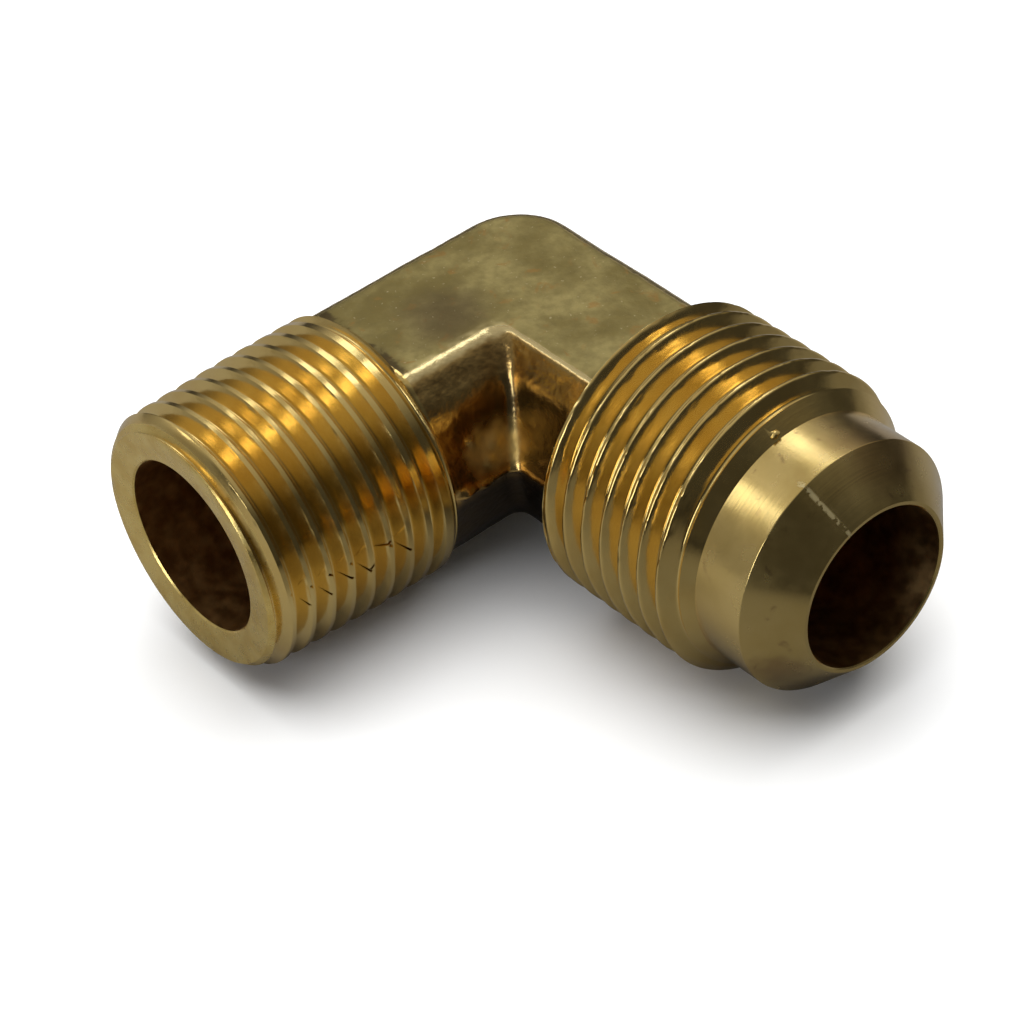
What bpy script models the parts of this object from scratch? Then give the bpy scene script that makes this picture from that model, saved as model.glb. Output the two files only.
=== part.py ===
"""A one-piece brass elbow fitting: 1/2 in SAE 45 degree male flare to 3/8 in NPT male pipe thread.

The flare arm runs along +X and the pipe arm along -Y. The part is modelled with its parting plane at
z = 0 and its bore axes crossing at the origin, then lowered until the origin is on the upper wrench
flat, straight above that crossing. Lengths are in metres.
"""

import math

import bmesh
import bpy
from mathutils import Matrix, Vector

MM = 0.001

# Forged block between the two arms. Its walls fall from each wrench flat to the parting plane
FLAT_HEIGHT = 7.4 * MM            # parting plane to each wrench flat
FLAT_HALF_WIDTH = 4.4 * MM        # arm axis to where the flat would meet the wall below it
SHOULDER_HALF_WIDTH = 6.1 * MM    # arm axis to where the wall turns steeper
SHOULDER_HEIGHT = 5.3 * MM
SIDE_HALF_WIDTH = 8.0 * MM        # arm axis to the wall at the parting plane
FLARE_WALL_FLAT = 5.0 * MM        # the flare arm's inner wall is steeper than the others:
FLARE_WALL_SIDE = 7.3 * MM        # its half widths at a flat and at the parting plane
FLAT_EDGE_RADIUS = 0.8 * MM
SHOULDER_RADIUS = 2.0 * MM
OUTER_CORNER_RADIUS = 3.6 * MM    # the elbow's outer corner, seen on a wrench flat
INNER_CORNER_RADIUS = 0.9 * MM    # the crook of the elbow, seen on a wrench flat
CROOK_RADIUS = 2.2 * MM           # the crook of the elbow at the parting plane
DIE_LEAN = 0.03                   # the die halves met out of line, so the section leans to the crook
CORNER_STEPS = 6
EDGE_STEPS = 3

# Flare arm, SAE J512 45 degree, 3/4-16 UNF
FLARE_PITCH = 25.4 / 16 * MM
FLARE_CREST_RADIUS = 19.0 / 2 * MM
FLARE_THREAD_START = 13.0 * MM
FLARE_THREAD_END = 24.4 * MM
FLARE_THREAD_TURN = 0             # where the thread starts round its axis
NECK_RADIUS = 8.85 * MM           # the first groove runs out into a plain neck this wide
NECK_LENGTH = 0.5 * MM
COLLAR_RADIUS = 8.0 * MM
TIP_RADIUS = 5.43 * MM
TIP_END = 30.55 * MM
CONE_START = TIP_END - (COLLAR_RADIUS - TIP_RADIUS)   # a 45 degree cone is as long as it is deep

# Pipe arm, 3/8-18 NPT, which tapers 1 in 32 on the radius. Its blank is turned a little under size,
# so the crests are wider than the standard's
PIPE_PITCH = 25.4 / 18 * MM
PIPE_END_CREST_RADIUS = 17.055 / 2 * MM   # the standard's crest at the end, before the blank trims it
PIPE_BLANK_END_RADIUS = 8.335 * MM
PIPE_BLANK_RADIUS = 8.6 * MM
PIPE_TAPER = 1 / 32
PIPE_THREAD_START = 11.9 * MM
PIPE_THREAD_TURN = math.radians(-90)
PIPE_END = 25.5 * MM
PIPE_END_FACE_RADIUS = 7.62 * MM
PIPE_CHAMFER_LENGTH = 0.95 * MM
PIPE_BEVEL = 0.35 * MM            # where the blank meets the block

# Waterway, drilled from both ends
FLARE_BORE_RADIUS = 10.3 / 2 * MM
FLARE_MOUTH_RADIUS = 10.4 / 2 * MM
PIPE_BORE_RADIUS = 11.2 / 2 * MM
PIPE_MOUTH_RADIUS = 11.4 / 2 * MM
PIPE_RECESS_RADIUS = 14.0 / 2 * MM   # a shallow countersink from the end face to the mouth
PIPE_RECESS_DEPTH = 0.2 * MM
DRILL_POINT = math.radians(118)
DRILL_RUN_PAST = 2.4 * MM         # how far each drill's full width runs past the other bore's axis

# Thread forms, as fractions of the pitch. The flanks stand 60 degrees apart
FLANK_ANGLE = math.radians(30)
UNF_DEPTH = 0.6134
UNF_CREST = 0.125
NPT_DEPTH = 0.8
NPT_CREST = 0.038

MERGE_DISTANCE = 0.005 * MM
THREAD_STEPS = 36                 # facets round one turn
TURNED_STEPS = 48                 # facets round a turned surface
TURNED_PHASE = math.radians(1.25) # keeps a turned surface's edges clear of a thread's
CUT_OVERSHOOT = 1.0 * MM          # how far a cutter stands clear of what it cuts
BLOCK_OVERLAP = 0.3 * MM          # how far the block runs on inside each arm
SHARP_ANGLE = math.radians(30)


def new_collection(name):
    collection = bpy.data.collections.new(name)
    bpy.context.scene.collection.children.link(collection)
    return collection


def clear_scene():
    for obj in list(bpy.data.objects):
        bpy.data.objects.remove(obj, do_unlink=True)


def add_object(name, mesh, collection):
    obj = bpy.data.objects.new(name, mesh)
    collection.objects.link(obj)
    return obj


def baked(obj):
    """Replaces an object's mesh with its evaluated one, and drops the modifiers."""
    bpy.context.view_layer.update()
    graph = bpy.context.evaluated_depsgraph_get()
    mesh = bpy.data.meshes.new_from_object(obj.evaluated_get(graph))
    obj.modifiers.clear()
    obj.data = mesh
    return obj


def edit_mesh(obj, change):
    """Runs change(bm) on the object's mesh and makes its faces point outwards."""
    bm = bmesh.new()
    bm.from_mesh(obj.data)
    change(bm)
    bmesh.ops.recalc_face_normals(bm, faces=bm.faces)
    bm.to_mesh(obj.data)
    bm.free()


def merge_doubles(bm):
    bmesh.ops.remove_doubles(bm, verts=bm.verts, dist=MERGE_DISTANCE)


def combine(obj, tool, operation):
    boolean = obj.modifiers.new(operation.lower(), "BOOLEAN")
    boolean.operation = operation
    boolean.object = tool
    baked(obj)
    edit_mesh(obj, merge_doubles)
    bpy.data.objects.remove(tool, do_unlink=True)
    return obj


def screwed(name, profile, steps, lead, collection):
    """Turns a chain of (radius, height) points about Z, rising by lead in each turn."""
    mesh = bpy.data.meshes.new(name)
    edges = [(i, i + 1) for i in range(len(profile) - 1)]
    mesh.from_pydata([(radius, 0, height) for radius, height in profile], edges, [])
    obj = add_object(name, mesh, collection)
    screw = obj.modifiers.new("turn", "SCREW")
    screw.axis = "Z"
    screw.steps = steps
    screw.render_steps = steps
    screw.screw_offset = lead
    screw.use_merge_vertices = lead == 0
    screw.merge_threshold = MERGE_DISTANCE
    return baked(obj)


def turned(name, profile, collection):
    """A closed solid of revolution about Z, from a profile that starts and ends on the axis."""
    obj = screwed(name, profile, TURNED_STEPS, 0, collection)
    edit_mesh(obj, merge_doubles)
    obj.data.transform(Matrix.Rotation(TURNED_PHASE, 4, "Z"))
    return obj


def thread_profile(radius, pitch, turns, depth, crest):
    """One flank-crest-flank-root tooth for each turn, closed to the axis at both ends."""
    root_radius = radius - depth * pitch
    flank = depth * math.tan(FLANK_ANGLE)
    tooth = (
        (root_radius, 0),
        (radius, flank),
        (radius, flank + crest),
        (root_radius, 2 * flank + crest),
    )
    points = [(0, 0)]
    for turn in range(turns):
        points += [(r, (turn + along) * pitch) for r, along in tooth]
    points += [(root_radius, turns * pitch), (0, turns * pitch)]
    return points[::-1]


def threaded_rod(name, radius, pitch, length, depth, crest, turn, collection):
    """A right-hand threaded rod along Z, which runs past z = 0 and past z = length."""
    turns = math.ceil(length / pitch) + 2
    profile = thread_profile(radius, pitch, turns, depth, crest)
    rod = screwed(name, profile, THREAD_STEPS, pitch, collection)

    def close(bm):
        bmesh.ops.translate(bm, verts=bm.verts, vec=(0, 0, -pitch))
        merge_doubles(bm)
        open_edges = [edge for edge in bm.edges if edge.is_boundary]
        bmesh.ops.holes_fill(bm, edges=open_edges, sides=0)

    edit_mesh(rod, close)
    rod.data.transform(Matrix.Rotation(turn, 4, "Z"))
    return rod


def taper(obj, rate):
    """Makes the radius grow by rate for each unit of height below z = 0."""

    def widen(bm):
        for vert in bm.verts:
            radius = math.hypot(vert.co.x, vert.co.y)
            if radius > 0:
                growth = 1 - rate * vert.co.z / radius
                vert.co.x *= growth
                vert.co.y *= growth

    edit_mesh(obj, widen)


def rounded(before, corner, after, radius, steps):
    """Points of the arc of this radius that rounds the corner between two neighbouring points."""
    corner = Vector(corner)
    back = (Vector(before) - corner).normalized()
    onward = (Vector(after) - corner).normalized()
    half_angle = back.angle(onward) / 2
    centre = corner + (back + onward).normalized() * radius / math.sin(half_angle)
    tangent_length = radius / math.tan(half_angle)
    start = corner + back * tangent_length - centre
    end = corner + onward * tangent_length - centre
    return [tuple(centre + start.slerp(end, i / steps) * radius) for i in range(steps + 1)]


def section():
    """An arm's section as (half width, height) points, from the lower flat up to the upper flat."""
    parting = (SIDE_HALF_WIDTH, 0)
    shoulder = (SHOULDER_HALF_WIDTH, SHOULDER_HEIGHT)
    flat_edge = (FLAT_HALF_WIDTH, FLAT_HEIGHT)
    upper = rounded(parting, shoulder, flat_edge, SHOULDER_RADIUS, EDGE_STEPS)
    upper += rounded(shoulder, flat_edge, (0, FLAT_HEIGHT), FLAT_EDGE_RADIUS, EDGE_STEPS)
    lower = [(half_width, -height) for half_width, height in reversed(upper)]
    return lower + [parting] + upper


def between(low, high, share):
    return low + (high - low) * share


def elbow_outline(half_width, height):
    """The L-shaped outline of the block at this height, where its section has this half width."""
    flare = FLARE_THREAD_START + BLOCK_OVERLAP
    pipe = -PIPE_THREAD_START - BLOCK_OVERLAP
    share = (half_width - FLAT_HALF_WIDTH) / (SIDE_HALF_WIDTH - FLAT_HALF_WIDTH)
    outer_radius = OUTER_CORNER_RADIUS + half_width - FLAT_HALF_WIDTH
    inner_radius = between(INNER_CORNER_RADIUS, CROOK_RADIUS, share)
    lean = DIE_LEAN * height
    outer_wall = half_width - lean
    pipe_wall = half_width + lean
    flare_wall = between(FLARE_WALL_FLAT, FLARE_WALL_SIDE, share) + lean
    flare_outer = (flare, outer_wall)
    flare_inner = (flare, -flare_wall)
    pipe_outer = (-outer_wall, pipe)
    pipe_inner = (pipe_wall, pipe)
    outer_corner = (-outer_wall, outer_wall)
    crook = (pipe_wall, -flare_wall)
    outline = [flare_outer]
    outline += rounded(flare_outer, outer_corner, pipe_outer, outer_radius, CORNER_STEPS)
    outline += [pipe_outer, pipe_inner]
    outline += rounded(pipe_inner, crook, flare_inner, inner_radius, CORNER_STEPS)
    outline += [flare_inner]
    return outline


def forged_block(collection):
    """A loft through the elbow's outline at each height of its section."""
    bm = bmesh.new()
    rings = []
    for half_width, height in section():
        outline = elbow_outline(half_width, height)
        rings.append([bm.verts.new((x, y, height)) for x, y in outline])
    count = len(rings[0])
    for low, high in zip(rings, rings[1:]):
        for i in range(count):
            j = (i + 1) % count
            bm.faces.new((low[i], low[j], high[j], high[i]))
    bm.faces.new(rings[0])
    bm.faces.new(rings[-1])
    bmesh.ops.recalc_face_normals(bm, faces=bm.faces)
    mesh = bpy.data.meshes.new("forged_block")
    bm.to_mesh(mesh)
    bm.free()
    return add_object("forged_block", mesh, collection)


def flare_arm(collection):
    """The flare thread, neck, collar and 45 degree cone, standing on z = 0 along +Z."""
    length = FLARE_THREAD_END - FLARE_THREAD_START
    arm = threaded_rod(
        "flare_arm", FLARE_CREST_RADIUS, FLARE_PITCH, length,
        UNF_DEPTH, UNF_CREST, FLARE_THREAD_TURN, collection,
    )
    clear_radius = FLARE_CREST_RADIUS + CUT_OVERSHOOT
    # The end chamfer runs on inside the collar, so that the two surfaces cross
    envelope_profile = [
        (0, length + CUT_OVERSHOOT),
        (COLLAR_RADIUS - CUT_OVERSHOOT, length + CUT_OVERSHOOT),
        (clear_radius, length - (clear_radius - COLLAR_RADIUS)),
        (clear_radius, 0),
        (0, 0),
    ]
    combine(arm, turned("flare_envelope", envelope_profile, collection), "INTERSECT")
    nose_profile = [
        (0, TIP_END - FLARE_THREAD_START),
        (TIP_RADIUS, TIP_END - FLARE_THREAD_START),
        (COLLAR_RADIUS, CONE_START - FLARE_THREAD_START),
        (COLLAR_RADIUS, length - 2 * CUT_OVERSHOOT),
        (0, length - 2 * CUT_OVERSHOOT),
    ]
    combine(arm, turned("nose", nose_profile, collection), "UNION")
    neck_profile = [
        (0, NECK_LENGTH),
        (NECK_RADIUS, NECK_LENGTH),
        (NECK_RADIUS, -BLOCK_OVERLAP),
        (0, -BLOCK_OVERLAP),
    ]
    return combine(arm, turned("neck", neck_profile, collection), "UNION")


def pipe_arm(collection):
    """The taper pipe thread with its chamfered end, standing on z = 0 along +Z."""
    length = PIPE_END - PIPE_THREAD_START
    full_radius = PIPE_END_CREST_RADIUS + PIPE_TAPER * length
    arm = threaded_rod(
        "pipe_arm", full_radius, PIPE_PITCH, length,
        NPT_DEPTH, NPT_CREST, PIPE_THREAD_TURN, collection,
    )
    taper(arm, PIPE_TAPER)
    chamfer_end = length - PIPE_CHAMFER_LENGTH
    taper_end = length - (PIPE_BLANK_RADIUS - PIPE_BLANK_END_RADIUS) / PIPE_TAPER
    envelope_profile = [
        (0, length),
        (PIPE_END_FACE_RADIUS, length),
        (PIPE_BLANK_END_RADIUS + PIPE_TAPER * PIPE_CHAMFER_LENGTH, chamfer_end),
        (PIPE_BLANK_RADIUS, taper_end),
        (PIPE_BLANK_RADIUS, PIPE_BEVEL),
        (PIPE_BLANK_RADIUS - PIPE_BEVEL, 0),
        (0, 0),
    ]
    return combine(arm, turned("pipe_envelope", envelope_profile, collection), "INTERSECT")


def drill(name, radius, entry, collection):
    """A drill's path along +Z with its point below z = 0, widening at its entry's (radius, height)s."""
    point_length = radius / math.tan(DRILL_POINT / 2)
    outside = (0, entry[0][1])
    bore = [(radius, -DRILL_RUN_PAST), (0, -DRILL_RUN_PAST - point_length)]
    return turned(name, [outside] + entry + bore, collection)


def flare_drill(collection):
    entry = [
        (FLARE_MOUTH_RADIUS + CUT_OVERSHOOT, TIP_END + CUT_OVERSHOOT),
        (FLARE_BORE_RADIUS, TIP_END - (FLARE_MOUTH_RADIUS - FLARE_BORE_RADIUS)),
    ]
    return drill("flare_drill", FLARE_BORE_RADIUS, entry, collection)


def pipe_drill(collection):
    mouth = PIPE_END - PIPE_RECESS_DEPTH
    entry = [
        (2 * PIPE_RECESS_RADIUS - PIPE_MOUTH_RADIUS, PIPE_END + PIPE_RECESS_DEPTH),
        (PIPE_MOUTH_RADIUS, mouth),
        (PIPE_BORE_RADIUS, mouth - (PIPE_MOUTH_RADIUS - PIPE_BORE_RADIUS)),
    ]
    return drill("pipe_drill", PIPE_BORE_RADIUS, entry, collection)


def to_flare_axis(obj, distance):
    """Turns the object from +Z to +X and moves it out along the flare arm."""
    obj.data.transform(Matrix.Translation((distance, 0, 0)) @ Matrix.Rotation(math.pi / 2, 4, "Y"))
    return obj


def to_pipe_axis(obj, distance):
    """Turns the object from +Z to -Y and moves it out along the pipe arm."""
    obj.data.transform(Matrix.Translation((0, -distance, 0)) @ Matrix.Rotation(math.pi / 2, 4, "X"))
    return obj


def brass():
    material = bpy.data.materials.new("brass")
    material.use_nodes = True
    shader = material.node_tree.nodes["Principled BSDF"]
    shader.inputs["Base Color"].default_value = (0.62, 0.42, 0.13, 1)
    shader.inputs["Metallic"].default_value = 1.0
    shader.inputs["Roughness"].default_value = 0.28
    return material


def elbow_body(collection):
    body = forged_block(collection)
    combine(body, to_flare_axis(flare_arm(collection), FLARE_THREAD_START), "UNION")
    combine(body, to_pipe_axis(pipe_arm(collection), PIPE_THREAD_START), "UNION")
    combine(body, to_flare_axis(flare_drill(collection), 0), "DIFFERENCE")
    combine(body, to_pipe_axis(pipe_drill(collection), 0), "DIFFERENCE")
    body.data.transform(Matrix.Translation((0, 0, -FLAT_HEIGHT)))
    body.name = "elbow_body"
    body.data.name = "elbow_body"
    body.data.materials.clear()
    body.data.materials.append(brass())
    body.data.shade_smooth()
    body.data.set_sharp_from_angle(angle=SHARP_ANGLE)


def main():
    clear_scene()
    elbow_body(new_collection("flare_elbow"))


main()
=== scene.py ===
"""The looks of a forged brass flare elbow: one fine mesh that stands for the CAD's elbow_body.

Shapes are worked out in millimetres from where the arms' axes cross. The flare arm runs along +X and
the pipe arm along -Y, and the forging's parting plane is z = 0. At the end the mesh is turned to metres
and lowered into the CAD's frame, whose origin is on the upper flat.
"""
import math

import bmesh
import bpy
import numpy as np
from mathutils import Matrix, Vector, noise


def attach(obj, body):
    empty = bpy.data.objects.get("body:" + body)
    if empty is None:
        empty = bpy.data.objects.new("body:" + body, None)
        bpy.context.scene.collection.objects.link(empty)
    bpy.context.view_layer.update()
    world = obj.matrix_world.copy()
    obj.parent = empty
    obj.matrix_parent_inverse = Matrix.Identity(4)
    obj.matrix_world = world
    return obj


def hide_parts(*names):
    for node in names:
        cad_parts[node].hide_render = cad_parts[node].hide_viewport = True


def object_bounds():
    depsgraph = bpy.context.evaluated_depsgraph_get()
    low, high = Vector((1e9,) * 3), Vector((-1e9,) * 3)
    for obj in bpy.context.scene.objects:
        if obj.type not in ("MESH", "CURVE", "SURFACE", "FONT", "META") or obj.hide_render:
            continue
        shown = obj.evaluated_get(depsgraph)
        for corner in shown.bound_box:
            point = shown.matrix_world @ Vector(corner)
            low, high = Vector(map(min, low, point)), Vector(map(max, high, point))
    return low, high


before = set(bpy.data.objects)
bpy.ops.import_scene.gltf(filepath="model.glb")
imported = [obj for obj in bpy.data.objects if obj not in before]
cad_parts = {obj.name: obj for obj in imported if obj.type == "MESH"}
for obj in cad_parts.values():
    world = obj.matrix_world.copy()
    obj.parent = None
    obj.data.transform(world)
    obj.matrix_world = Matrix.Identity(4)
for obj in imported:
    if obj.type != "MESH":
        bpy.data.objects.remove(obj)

CAD_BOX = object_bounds()
MM = 0.001
AXIS_HEIGHT = (CAD_BOX[0].z + CAD_BOX[1].z) / 2   # both arms' axes, and the forging's parting plane
SKIN = 0.01                        # keeps the fine surface just inside the CAD's box

# Forged block between the two arms
FLAT_HEIGHT = 7.4
FLAT_HALF_WIDTH = 4.4
SIDE_HALF_WIDTH = 8.0
# Each wall's section from the parting plane up: (half width, height), then the radii that round
# its shoulder and its edge against the flat
OUTER_WALL = ((SIDE_HALF_WIDTH, 0), (6.1, 5.3), (FLAT_HALF_WIDTH, FLAT_HEIGHT)), 1.6, 0.8
PIPE_WALL = ((SIDE_HALF_WIDTH, 0), (6.4, 5.1), (4.3, FLAT_HEIGHT)), 5.0, 2.0
FLARE_WALL = ((7.3, 0), (5.75, 5.3), (4.55, FLAT_HEIGHT)), 4.0, 0.5
OUTER_CORNER_RADIUS = 3.6
INNER_CORNER_RADIUS = 1.1
CROOK_RADIUS = 0.75
DIE_LEAN = 0.03                    # how far the block leans towards the crook for each millimetre up
CORNER_STEPS = 14
EDGE_STEPS = 7
BLOCK_OVERLAP = 0.3                # how far the block runs on inside each arm
BLOCK_VOXEL = 0.12
BLOCK_SMOOTHING = 0.5
BLOCK_SMOOTHINGS = 4
LEVEL_SPACING = 0.04               # of two outlines closer than this in height, only the lower is kept

# The forged skin's waves, coarse to fine: (rise, waves a millimetre)
SKIN_WAVES = (0.035, 0.32), (0.014, 1.1), (0.008, 3.1)
WALL_WAVE = 0.012, 2.2
WALL_WAVE_SHIFT = Vector((7, 3, 5))
FLASH_RISE = 0.09
FLASH_HALF_HEIGHT = 0.2
FLASH_UNEVENNESS = 0.7
FLASH_WAVE = 1.4
# Lumps and hollows as (centre, size, rise): a notch and lumps of flash by the pipe thread, then
# lumps on the crook's wall
LUMPS = (
    ((8.1, -11.9, 0), 0.45, -0.3),
    ((8.2, -10.9, 0.1), 0.4, 0.26),
    ((8.0, -9.6, -0.1), 0.5, 0.15),
    ((7.5, -8.2, 2.2), 0.5, 0.2),
    ((7.6, -8.9, 1.2), 0.35, 0.16),
    ((7.2, -9.6, 2.9), 0.4, 0.14),
)

# Flare arm
FLARE_PITCH = 25.4 / 16
FLARE_CREST_RADIUS = (CAD_BOX[1].z - AXIS_HEIGHT) / MM - SKIN
FLARE_THREAD_START = 13.0
FLARE_THREAD_END = 24.4
FLARE_RUNOUT = 0.6                 # how many pitches the first groove takes to reach its depth
FLARE_BEVEL = 0.12
NECK_RADIUS = 8.85
NECK_LENGTH = 0.5
COLLAR_RADIUS = 8.0
TIP_RADIUS = 5.43
TIP_END = CAD_BOX[1].x / MM - SKIN
CONE_START = TIP_END - (COLLAR_RADIUS - TIP_RADIUS)   # at 45 degrees, as long as its radius grows
TIP_ROUNDING = 0.06
CONE_ROUNDING = 0.12

# Pipe arm
PIPE_PITCH = 25.4 / 18
PIPE_END_CREST_RADIUS = 17.055 / 2    # the standard's crest at the end, before the blank trims it
PIPE_BLANK_END_RADIUS = 8.335 - SKIN
PIPE_BLANK_RADIUS = 8.6 - SKIN
PIPE_TAPER = 1 / 32                # on the radius
PIPE_RUNOUT = 1.1
PIPE_THREAD_START = 11.9
PIPE_END = -CAD_BOX[0].y / MM - SKIN
PIPE_END_FACE_RADIUS = 7.62
PIPE_CHAMFER_LENGTH = 0.95
PIPE_BEVEL = 0.45
PIPE_FACE_ROUNDING = 0.08
PIPE_CHAMFER_ROUNDING = 0.2

# Waterway
FLARE_BORE_RADIUS = 10.3 / 2
FLARE_MOUTH_RADIUS = 10.45 / 2
PIPE_BORE_RADIUS = 11.2 / 2
PIPE_MOUTH_RADIUS = 11.4 / 2
PIPE_RECESS_RADIUS = 14.0 / 2
PIPE_RECESS_DEPTH = 0.2
DRILL_POINT = math.radians(118)
DRILL_RUN_PAST = 2.4               # how far each drill's full width runs past the other bore's axis

# Nicks along the pipe thread's parting seam
NICKS = 6
NICK_START = -16.5
NICK_LENGTH = 2.0
NICK_WIDTH = 0.34
NICK_DEPTH = 0.85
NICK_SPREAD = 0.3
NICK_TILTS = 35, 60                # degrees from the arm's axis, either way
NICK_SEED = 3

# The burr at the end of the flare thread
BURR_PLACE = 24.1, -1.3, 8.15
BURR_SIZE = 0.3
BURR_FLATNESS = 0.6
BURR_RAGGEDNESS = 0.45
BURR_WAVE = 5.0
BURR_STEPS = 9

# How unevenly the threads' crests are worn: the fall, and how far below a crest it reaches
CREST_WEAR = 0.045
CREST_WEAR_REACH = 0.3
BROAD_WEAR_WAVE = Vector((0.9, 0.9, 2.5))
FINE_WEAR_WAVE = Vector((3.5, 3.5, 6))
FINE_WEAR_SHARE = 0.6

# Thread forms, as fractions of the pitch
UNF_DEPTH = 0.6134
UNF_CREST = 0.125
UNF_ROUNDING = 0.035
NPT_DEPTH = 0.8
NPT_CREST = 0.038
NPT_ROUNDING = 0.06
FLANK_ANGLE = math.radians(30)
# How far each thread is shifted along its arm, in pitches
FLARE_PHASE = -0.0724
PIPE_PHASE = 0.229
ROUNDING_SAMPLES = 7
ROWS_PER_PITCH = 26
COLUMNS = 288
TURNED_COLUMNS = 256
PROFILE_STEPS = 5
CLEAR = 1.0                        # how far a cutter stands clear of what it cuts
MERGE_GAP = 0.0002                 # points closer than this become one
SHARP_ANGLE = math.radians(34)

FLOOR_GAP = 0.05 * MM
FLOOR_RADIUS = 600
FLOOR_THICKNESS = 2

# The viewpoint, from where the arms' axes cross, and the point in millimetres that it looks at
CAMERA_AZIMUTH = math.radians(53.1)
CAMERA_ELEVATION = math.radians(37.7)
CAMERA_ROLL = math.radians(-5.6)
CAMERA_DISTANCE = 209.5 * MM
CAMERA_LENS = 120
CAMERA_CLIP_START = 0.01
AIM = (9.5, -9.0, -1.5)

# Where the scratch on the cone runs: its turn from the top towards the crook, and its half widths,
# full and faded, as angles
SCRATCH_TURN = math.radians(20)
SCRATCH_CORE = 0.012
SCRATCH_EDGE = 0.03

# Where the marks are, from the arms' crossing, with the reach of each: full, then faded. Some of them place
# painted shade or a painted glint rather than marks in the metal.
FLAT_SMUDGE = (1.6, -6.6, FLAT_HEIGHT), 0.8, 4.2
# Painted shade below the parting line about the crook
CROOK_SHADE = (8, -8, 0), 7, 11
# Painted shade on the flare side's wall
SHADED_WALL = (9.8, -6.0, 3.4), 2.4, 4.6
# A rough spot on the crook's wall, which also carries a painted glint
ROUGH_SPOT_AND_GLINT = (7.5, -8.3, 1.8), 0.8, 2.6
CONE_TARNISH = (27.6, 2.6, 6.6), 1.26, 4.2
TIP_TARNISH = (28.6, -5.8, -3.0), 0.66, 2.2
WANDER = 2.4                       # how far, in millimetres, a mark's outline wanders in all
WANDER_WAVE = 0.6
BLOTCH_ROUGHNESS = 0.55

# The surfaces that a face can belong to, and the margins in millimetres that tell them apart
FORGED, THREAD, NOSE, END_FACE, BORE = range(5)
BORE_SKIN = 0.06                   # a bore's faces lie at most this far outside its radius
SEAM_SLACK = 0.05                  # a machined surface reaches this far past its first edge
TIP_DEPTH = 0.2                    # the flare bore's surface starts this far inside its mouth
MOUTH_DEPTH = 0.5                  # and the pipe bore's starts this far inside its own
END_DEPTH = 0.8                    # the end face's chamfers reach this far in
END_EDGE = 0.3                     # and this far outwards
END_COSINE = 0.6                   # its faces turn from the arm's axis by less than this cosine's angle

# Colours, each pair the darker and the lighter end of one surface
SCALE_PAIR = (0.33, 0.25, 0.082, 1), (0.55, 0.435, 0.165, 1)
SCALE_GRAIN = (0.30, 0.235, 0.085, 1)
SCALE_STAIN = (0.50, 0.27, 0.075, 1)
SCALE_SMUDGE = (0.19, 0.135, 0.06, 1)
SCALE_SPECK = (0.80, 0.68, 0.36, 1)
WALL_PAIR = (0.56, 0.33, 0.10, 1), (0.75, 0.50, 0.17, 1)
WALL_GRAIN = (0.30, 0.17, 0.05, 1)
# Painted shade, nearly black, below the crook's parting line
UNDERSIDE_SHADE = (0.07, 0.045, 0.025, 1)
# Painted shade on the flare side's wall
WALL_SHADE = (0.24, 0.18, 0.085, 1)
# Painted glint, golden, on the crook's wall
PAINTED_GLINT = (0.98, 0.66, 0.20, 1)
# Painted highlight along the walls' edges against the flat
EDGE_HIGHLIGHT = (0.92, 0.74, 0.36, 1)
# Painted shade on the flats at the foot of each thread
THREAD_FOOT_SHADE = (0.10, 0.065, 0.03, 1)
THREAD_PAIR = (0.82, 0.56, 0.17, 1), (0.91, 0.66, 0.23, 1)
NOSE_PAIR = (0.80, 0.56, 0.175, 1), (0.90, 0.65, 0.23, 1)
NOSE_STAIN = (0.45, 0.27, 0.10, 1)
TARNISH = (0.36, 0.19, 0.07, 1)
SCRATCH = (1.0, 0.84, 0.45, 1)
END_PAIR = (0.84, 0.58, 0.165, 1), (0.98, 0.73, 0.25, 1)
BORE_PAIR = (0.50, 0.28, 0.10, 1), (0.72, 0.45, 0.17, 1)
FLOOR_COLOUR = (0.86, 0.86, 0.85, 1)
BACKDROP = (0.93, 0.93, 0.93, 1)
OIL_FILM = 0.3

# The lights that the metal mirrors: name, azimuth, elevation, distance, width, height, brightness
SOFTBOXES = (
    ("softbox_back", -166, 61, 0.45, 0.085, 0.12, 2.2),
    ("softbox_side", -128, 50, 0.22, 0.055, 0.07, 1.45),
    ("softbox_left", -49, 42, 0.45, 0.10, 0.14, 1.45),
    ("softbox_front", 14, 20, 0.45, 0.13, 0.24, 4.0),
)
FLOOR_LIGHT = "floor_light", -140, 82, 1.2, 1.8, 1.8, 3.2
COOL = (0.95, 1.0, 1.12)
WHITE = (1, 1, 1)


# ---- mesh tools ----

def link(name, mesh):
    obj = bpy.data.objects.new(name, mesh)
    bpy.context.scene.collection.objects.link(obj)
    return obj


def mesh_from(name, points, faces):
    mesh = bpy.data.meshes.new(name)
    mesh.from_pydata(points, [], faces)
    return link(name, mesh)


def tidy_mesh(obj):
    """Merges doubles, fills open ends and turns every face outwards."""
    bm = bmesh.new()
    bm.from_mesh(obj.data)
    bmesh.ops.remove_doubles(bm, verts=bm.verts, dist=MERGE_GAP)
    open_edges = [edge for edge in bm.edges if edge.is_boundary]
    if open_edges:
        bmesh.ops.holes_fill(bm, edges=open_edges, sides=0)
    bmesh.ops.recalc_face_normals(bm, faces=bm.faces)
    bm.to_mesh(obj.data)
    bm.free()
    return obj


def baked(obj):
    """Replaces an object's mesh with its evaluated one, and drops the modifiers."""
    bpy.context.view_layer.update()
    graph = bpy.context.evaluated_depsgraph_get()
    mesh = bpy.data.meshes.new_from_object(obj.evaluated_get(graph))
    obj.modifiers.clear()
    obj.data = mesh
    return obj


def combine(obj, tool, operation):
    boolean = obj.modifiers.new(operation.lower(), "BOOLEAN")
    boolean.operation = operation
    boolean.solver = "MANIFOLD"
    boolean.object = tool
    baked(obj)
    bpy.data.objects.remove(tool, do_unlink=True)
    return obj


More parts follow.
